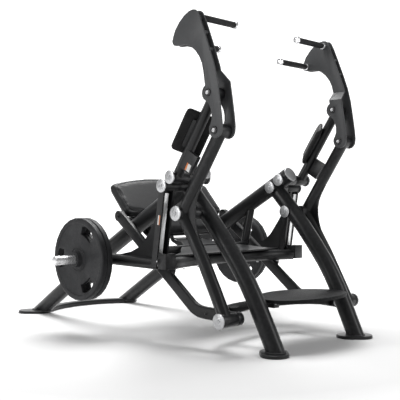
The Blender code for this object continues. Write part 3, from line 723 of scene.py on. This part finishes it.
def seat_cushion():
    """The padded body; what comes back is its surface, for the seams."""
    layers = ((-0.0395, 0.003), (-0.036, -0.0015), (-0.010, -0.0015), (-0.003, 0.001), (-0.001, 0.008))
    cushion = soft_object("seat_cushion", [seat_ring(inset, out) for out, inset in layers], VINYL)
    inflate(cushion, SEAT_VOXEL, SEAT_SWELL, lambda p: 1.0 if seat_height(p) < SEAT_GLUED else 0.0)
    tree = surface_of(cushion)
    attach(cushion, "carriage_body")
    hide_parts("seat_pad")
    return tree


def seat_seams(tree):
    """Welt, two rows of stitches and two plain ovals, all dropped on the cushion."""
    bm = bmesh.new()
    seam = dropped(tree, even_points(seat_ring(0.020, 0), 0.004), -SEAT_OUT, 0.0002)
    tube_along(bm, seam, 0.0013)
    new_piece("seat_seam_welt", bm, VINYL, "carriage_body")
    bm = bmesh.new()
    for inset in (0.0165, 0.0235):
        line = even_points(seat_ring(inset, 0), 0.0032)
        stitches(bm, dropped(tree, line, -SEAT_OUT, 0.0001), 0.0034, 0.00045)
    new_piece("seat_stitching", bm, THREAD, "carriage_body")
    bm = bmesh.new()
    for grow in (1.0, 0.72):
        mark = []
        for i in range(OVAL_POINTS):
            a = math.tau * i / OVAL_POINTS
            mark.append(seat_point(0.055 * grow * math.cos(a), 0.275 + 0.026 * grow * math.sin(a), 0))
        tube_along(bm, dropped(tree, mark, -SEAT_OUT, -0.0002), 0.0011)
    new_piece("seat_embossed_ovals", bm, VINYL, "carriage_body")


def seat_shell():
    """Thin tray under the cushion."""
    layers = ((-SEAT_T, 0.010), (-SEAT_T + 0.003, 0.0075), (-0.0402, 0.0065), (-0.0398, 0.008))
    bm = bmesh.new()
    ring_surface(bm, [seat_ring(inset, out) for out, inset in layers])
    new_piece("seat_under_shell", bm, SHELL, "carriage_body")


def seat():
    seat_seams(seat_cushion())
    seat_shell()


# --------------------------------------------------------------------- arm pads
def arm_pad(side_name, side):
    """Padded block beside the parallel link, tilted to face the arm."""
    link = (at(0, P6) - at(0, P1)).normalized()
    across = Vector((math.cos(PAD_TILT), math.sin(PAD_TILT) * link.z, -math.sin(PAD_TILT) * link.y))
    normal = link.cross(across)
    middle = at(ARM_X, P1) + link * 0.235 + across * 0.011 + normal * 0.0268

    def place(u, v, out):
        p = middle + across * u + link * v + normal * out
        return Vector((p.x * side, p.y, p.z))

    def outline(inset):
        wide = 0.0765 - inset
        tall = 0.116 - inset
        round_off = 0.020
        ring = []
        for cx, cy, start in ((1, 1, 0), (-1, 1, 90), (-1, -1, 180), (1, -1, 270)):
            for i in range(7):
                a = math.radians(start + 15 * i)
                ring.append((cx * (wide - round_off) + round_off * math.cos(a),
                             cy * (tall - round_off) + round_off * math.sin(a)))
        return ring

    layers = ((0.0, 0.002), (0.004, -0.001), (0.015, -0.001), (0.020, 0.003), (0.022, 0.009))
    rings = [[place(u, v, out) for u, v in outline(inset)] for out, inset in layers]
    base = place(0, 0, 0)
    facing = (place(0, 0, 1) - base).normalized()
    pad = soft_object(side_name + "_arm_cushion", rings, PAD)
    inflate(pad, PAD_VOXEL, PAD_SWELL, lambda p: 1.0 if (p - base).dot(facing) < PAD_GLUED else 0.0)
    tree = surface_of(pad)
    body = side_name + "_link_body"
    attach(pad, body)
    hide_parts(side_name + "_arm_pad")
    bm = bmesh.new()
    line = even_points([place(u, v, 0) for u, v in outline(0.014)], 0.004)
    tube_along(bm, dropped(tree, line, -facing, 0.0001), 0.0010)
    new_piece(side_name + "_arm_cushion_welt", bm, PAD, body)


# ------------------------------------------------------------------ metal detail
# Distance out of the cap face and radius, in metres, and 1 for a hexagon
CAP_RING = [
    (0.0, 0.0200, 0), (0.0012, 0.0196, 0), (0.0020, 0.0182, 0),
    (0.0020, 0.0160, 0), (0.0004, 0.0150, 0), (0.0004, 0.0100, 0),
]
CAP_BOLT = [
    (0.0, 0.0090, 0), (0.0030, 0.0088, 0), (0.0042, 0.0076, 0),
    (0.0042, 0.0054, 1), (0.0018, 0.0052, 1),
]


def cap_detail(name, body, centre, x_face, side, material, scale=1.0):
    """Raised ring and socket bolt in the middle of a pivot cap."""
    start = at(x_face * side, centre)
    axis = Vector((side, 0, 0))
    bm = bmesh.new()
    for profile in (CAP_RING, CAP_BOLT):
        scaled = [(along, radius * scale, is_hex) for along, radius, is_hex in profile]
        ring_surface(bm, fastener_rings(start, axis, 1.0, scaled))
    new_piece(name, bm, material, body)


def strip_quad(name, body, corners, lift, material):
    """Thin rounded label lying on a flat face."""
    a, b, c, d = [Vector(p) for p in corners]
    normal = (b - a).cross(d - a).normalized()
    if normal.dot(lift) < 0:
        normal = -normal
    ring = []
    for corner, before, after in ((a, d, b), (b, a, c), (c, b, d), (d, c, a)):
        u = (before - corner).normalized() * 0.0015
        v = (after - corner).normalized() * 0.0015
        ring += [corner + u, corner + (u + v) * 0.3, corner + v]
    middle = sum(ring, Vector()) / len(ring)
    inner = [middle + (p - middle) * 0.97 for p in ring]
    bm = bmesh.new()
    ring_surface(bm, [
        [p + normal * 0.00002 for p in ring],
        [p + normal * LABEL_THICK * 0.7 for p in ring],
        [p + normal * LABEL_THICK for p in inner],
    ])
    new_piece(name, bm, material, body)


def stop_labels(side_name, side):
    """Plain colour blocks on the stop plate."""
    blocks = (
        ("white", WHITE, [(0.3975, 0.9117), (0.378, 0.900), (0.397, 0.867), (0.4165, 0.8787)]),
        ("orange", ORANGE, [(0.406, 0.917), (0.398, 0.912), (0.417, 0.879), (0.425, 0.884)]),
    )
    for colour, material, corners in blocks:
        places = [at(LABEL_X * side, c) for c in corners]
        strip_quad(side_name + "_stop_label_" + colour, side_name + "_link_body", places,
                   Vector((side, 0, 0)), material)


def link_labels(side_name, side):
    """Plain colour bands along the hanging channel."""
    base = at(LINK_LABEL_X * side, P2)
    d = (at(0, HANG_LOW) - at(0, P2)).normalized()
    n = Vector((0, d.z, -d.y))
    sign = 1 if n.y < 0 else -1
    start, end = 0.150, 0.200
    for colour, material, low, high in (("white", WHITE, -0.004, 0.006), ("orange", ORANGE, 0.0065, 0.012)):
        low *= sign
        high *= sign
        corners = [base + d * start + n * low, base + d * end + n * low,
                   base + d * end + n * high, base + d * start + n * high]
        strip_quad(side_name + "_link_label_" + colour, side_name + "_weight_body", corners,
                   Vector((side, 0, 0)), material)


def pivot_caps(side_name, side):
    """Ring and bolt on the outer and inner caps of the pivots."""
    frame_body = "frame_body"
    lever = side_name + "_lever_body"
    cap_detail(side_name + "_upper_boss_cap_centre", frame_body, P1, CAP_FACE_X, side, FACED[1])
    cap_detail(side_name + "_second_boss_cap_centre", frame_body, P2, CAP_FACE_X, side, FACED[2])
    cap_detail(side_name + "_lever_cap_centre", frame_body, P3, CAP_FACE_X, side, FACED[3], 1.05)
    cap_detail(side_name + "_lever_foot_cap_centre", lever, P4, CAP_FACE_X, side, FACED[4], 1.05)
    for tag, centre, face in (("upper", P1, 0.2895), ("second", P2, 0.2895), ("lever", P3, 0.2955)):
        name = side_name + "_inner_" + tag + "_cap_centre"
        cap_detail(name, frame_body, centre, -face, -side, FACED[1], 0.9)


def side_bolts(side_name, side):
    """Bolts and nuts of the hand arm, the handles, the rail and the arch block."""
    out = Vector((side, 0, 0))
    arm = side_name + "_hand_arm_body"
    pins = []
    for centre in (P6, P7):
        pins.append((at(0.5550 * side, centre), out, 0.0066, BUTTON))
        pins.append((at(0.4450 * side, centre), -out, 0.0066, NUT))
    fasteners(side_name + "_hand_arm_pin_bolts", arm, pins)
    ends = [(at(0.2440 * side, centre), -out, 0.0062, BUTTON) for centre in HANDLES.values()]
    fasteners(side_name + "_handle_end_bolts", arm, ends, CHROME)
    rail = [
        (at(0.4372 * side, RAIL_TOP), out, 0.0085, HEX),
        (at(0.4372 * side, RAIL_LOW_BOLT), out, 0.0070, BUTTON),
    ]
    fasteners(side_name + "_rail_bolts", "carriage_body", rail, DARK_STEEL)
    block = [(at(0.5535 * side, P5), out, 0.0085, NUT)]
    fasteners(side_name + "_block_bolt", "carriage_body", block)


def disc_rings(side_name, side):
    """Raised rings on the outer face of the outer weight disc."""
    cx, cz = PLATE_YZ
    grooves = bmesh.new()
    for radius in (0.207, 0.066):
        ring = []
        for i in range(DISC_POINTS):
            a = math.tau * i / DISC_POINTS
            ring.append(Vector((0.6700 * side, cx - SHIFT + radius * math.cos(a), cz + radius * math.sin(a))))
        tube_along(grooves, ring, 0.0014)
    new_piece(side_name + "_disc_raised_rings", grooves, DISC, side_name + "_weight_body")


def foot_welds(side_name):
    low = (0, 0, 0.0178)
    up = (0, 0, 1)
    weld_rings(side_name + "_foot_welds", "frame_body", [
        (side_name + "_front_leg", low, up),
        (side_name + "_main_tube", low, up),
    ])


def side_detail(side_name, side):
    pivot_caps(side_name, side)
    side_bolts(side_name, side)
    disc_rings(side_name, side)
    foot_welds(side_name)
    stop_labels(side_name, side)
    link_labels(side_name, side)


def carriage_bolts(name, places, height, size):
    """Hex bolts under the carriage, mirrored left and right."""
    down = Vector((0, 0, -1))
    bolts = []
    for x, y in places:
        for s in (-1, 1):
            bolts.append((Vector((x * s, y - SHIFT, height)), down, size, HEX))
    fasteners(name, "carriage_body", bolts)


def common_detail():
    carriage_bolts("arch_bolts", ((0.3804, 0.5496 + 0.030), (0.2434, 0.5862 + 0.030)), 0.3772, 0.0068)
    carriage_bolts("step_bolts", ((0.255, 0.070), (0.110, 0.045)), 0.2343, 0.0070)


# ------------------------------------------------------------------------ stage
def paper():
    """Matt white that glows a little, more so away from the machine."""
    m = Nodes("studio_paper", (0.66, 0.66, 0.66), 0.85, specular=0.1)
    m.colour(m.mix(m.ramp(m.noise(2.0), 0.3, 0.7), (0.66, 0.66, 0.66), (0.65, 0.65, 0.65)))
    length = m.tree.nodes.new("ShaderNodeVectorMath")
    length.operation = "LENGTH"
    m.link(m.coords, length.inputs[0])
    m.set("Emission Color", (1.0, 1.0, 1.0, 1))
    m.link(m.ramp(length.outputs["Value"], 1.7, 3.6, 0.04, 1.0), m.bsdf.inputs["Emission Strength"])
    return m.mat


def backdrop():
    """Floor that curves up far behind the machine."""
    bm = bmesh.new()
    across = 14.0
    profile = [(-9.0, 0.0), (6.0, 0.0), (7.4, 0.15), (8.6, 0.7), (9.4, 1.6), (9.8, 3.0), (9.9, 7.0)]
    aim = Vector((math.sin(YAW), math.cos(YAW), 0))
    side = Vector((math.cos(YAW), -math.sin(YAW), 0))
    rows = []
    for along, high in profile:
        rows.append([bm.verts.new(aim * along + side * s * across + Vector((0, 0, high))) for s in (-1, 1)])
    for a, b in zip(rows, rows[1:]):
        bm.faces.new((a[0], a[1], b[1], b[0]))
    mesh = bpy.data.meshes.new("studio_floor")
    bm.to_mesh(mesh)
    bm.free()
    floor = bpy.data.objects.new("studio_floor", mesh)
    SCENE.collection.objects.link(floor)
    mesh.materials.append(paper())
    for face in mesh.polygons:
        face.use_smooth = True


def area(name, place, aim, size, power):
    """Rectangular lamp turned towards a point."""
    lamp = bpy.data.lights.new(name, "AREA")
    lamp.shape = "RECTANGLE"
    lamp.size, lamp.size_y = size
    lamp.energy = power
    obj = bpy.data.objects.new(name, lamp)
    obj.location = place
    obj.rotation_euler = (Vector(aim) - Vector(place)).to_track_quat("-Z", "Y").to_euler()
    SCENE.collection.objects.link(obj)


def room():
    """White to the camera, dimmer as a light."""
    world = bpy.data.worlds.new("soft_room")
    world.use_nodes = True
    background = world.node_tree.nodes["Background"]
    background.inputs["Color"].default_value = (1.0, 1.0, 1.0, 1)
    rays = world.node_tree.nodes.new("ShaderNodeLightPath")
    share = world.node_tree.nodes.new("ShaderNodeMapRange")
    share.inputs["To Min"].default_value = ROOM_LIGHT
    share.inputs["To Max"].default_value = 1.0
    world.node_tree.links.new(rays.outputs["Is Camera Ray"], share.inputs["Value"])
    world.node_tree.links.new(share.outputs["Result"], background.inputs["Strength"])
    SCENE.world = world


def lamps():
    area("top_soft_box", (0.8, 1.0, 4.4), (-0.1, -0.1, 0.3), (2.6, 2.6), 310)
    area("left_soft_box", (-4.6, 1.2, 2.4), (0, 0, 0.8), (1.2, 2.8), 80)
    area("front_right_soft_box", (1.6, -4.6, 2.6), (0, 0, 0.8), (1.2, 2.8), 60)


def photo_camera():
    """The photograph's view, found from the matching left and right pivots."""
    SCENE.view_settings.view_transform = "Standard"
    SCENE.view_settings.look = "None"
    camera = bpy.data.cameras.new("photo_view")
    camera.sensor_width = 36.0
    camera.lens = CAMERA_LENS
    camera.clip_end = 60.0
    eye = bpy.data.objects.new("photo_view", camera)
    eye.location = CAMERA_PLACE
    level = math.cos(PITCH)
    aim = Vector((math.sin(YAW) * level, math.cos(YAW) * level, math.sin(PITCH)))
    eye.rotation_mode = "QUATERNION"
    eye.rotation_quaternion = aim.to_track_quat("-Z", "Y")
    SCENE.collection.objects.link(eye)
    SCENE.camera = eye


def main():
    for name, obj in NODES.items():
        finish_node(name, obj)
    seat()
    for side_name, side in SIDES.items():
        arm_pad(side_name, side)
        side_detail(side_name, side)
    common_detail()
    room()
    lamps()
    photo_camera()
    backdrop()


main()
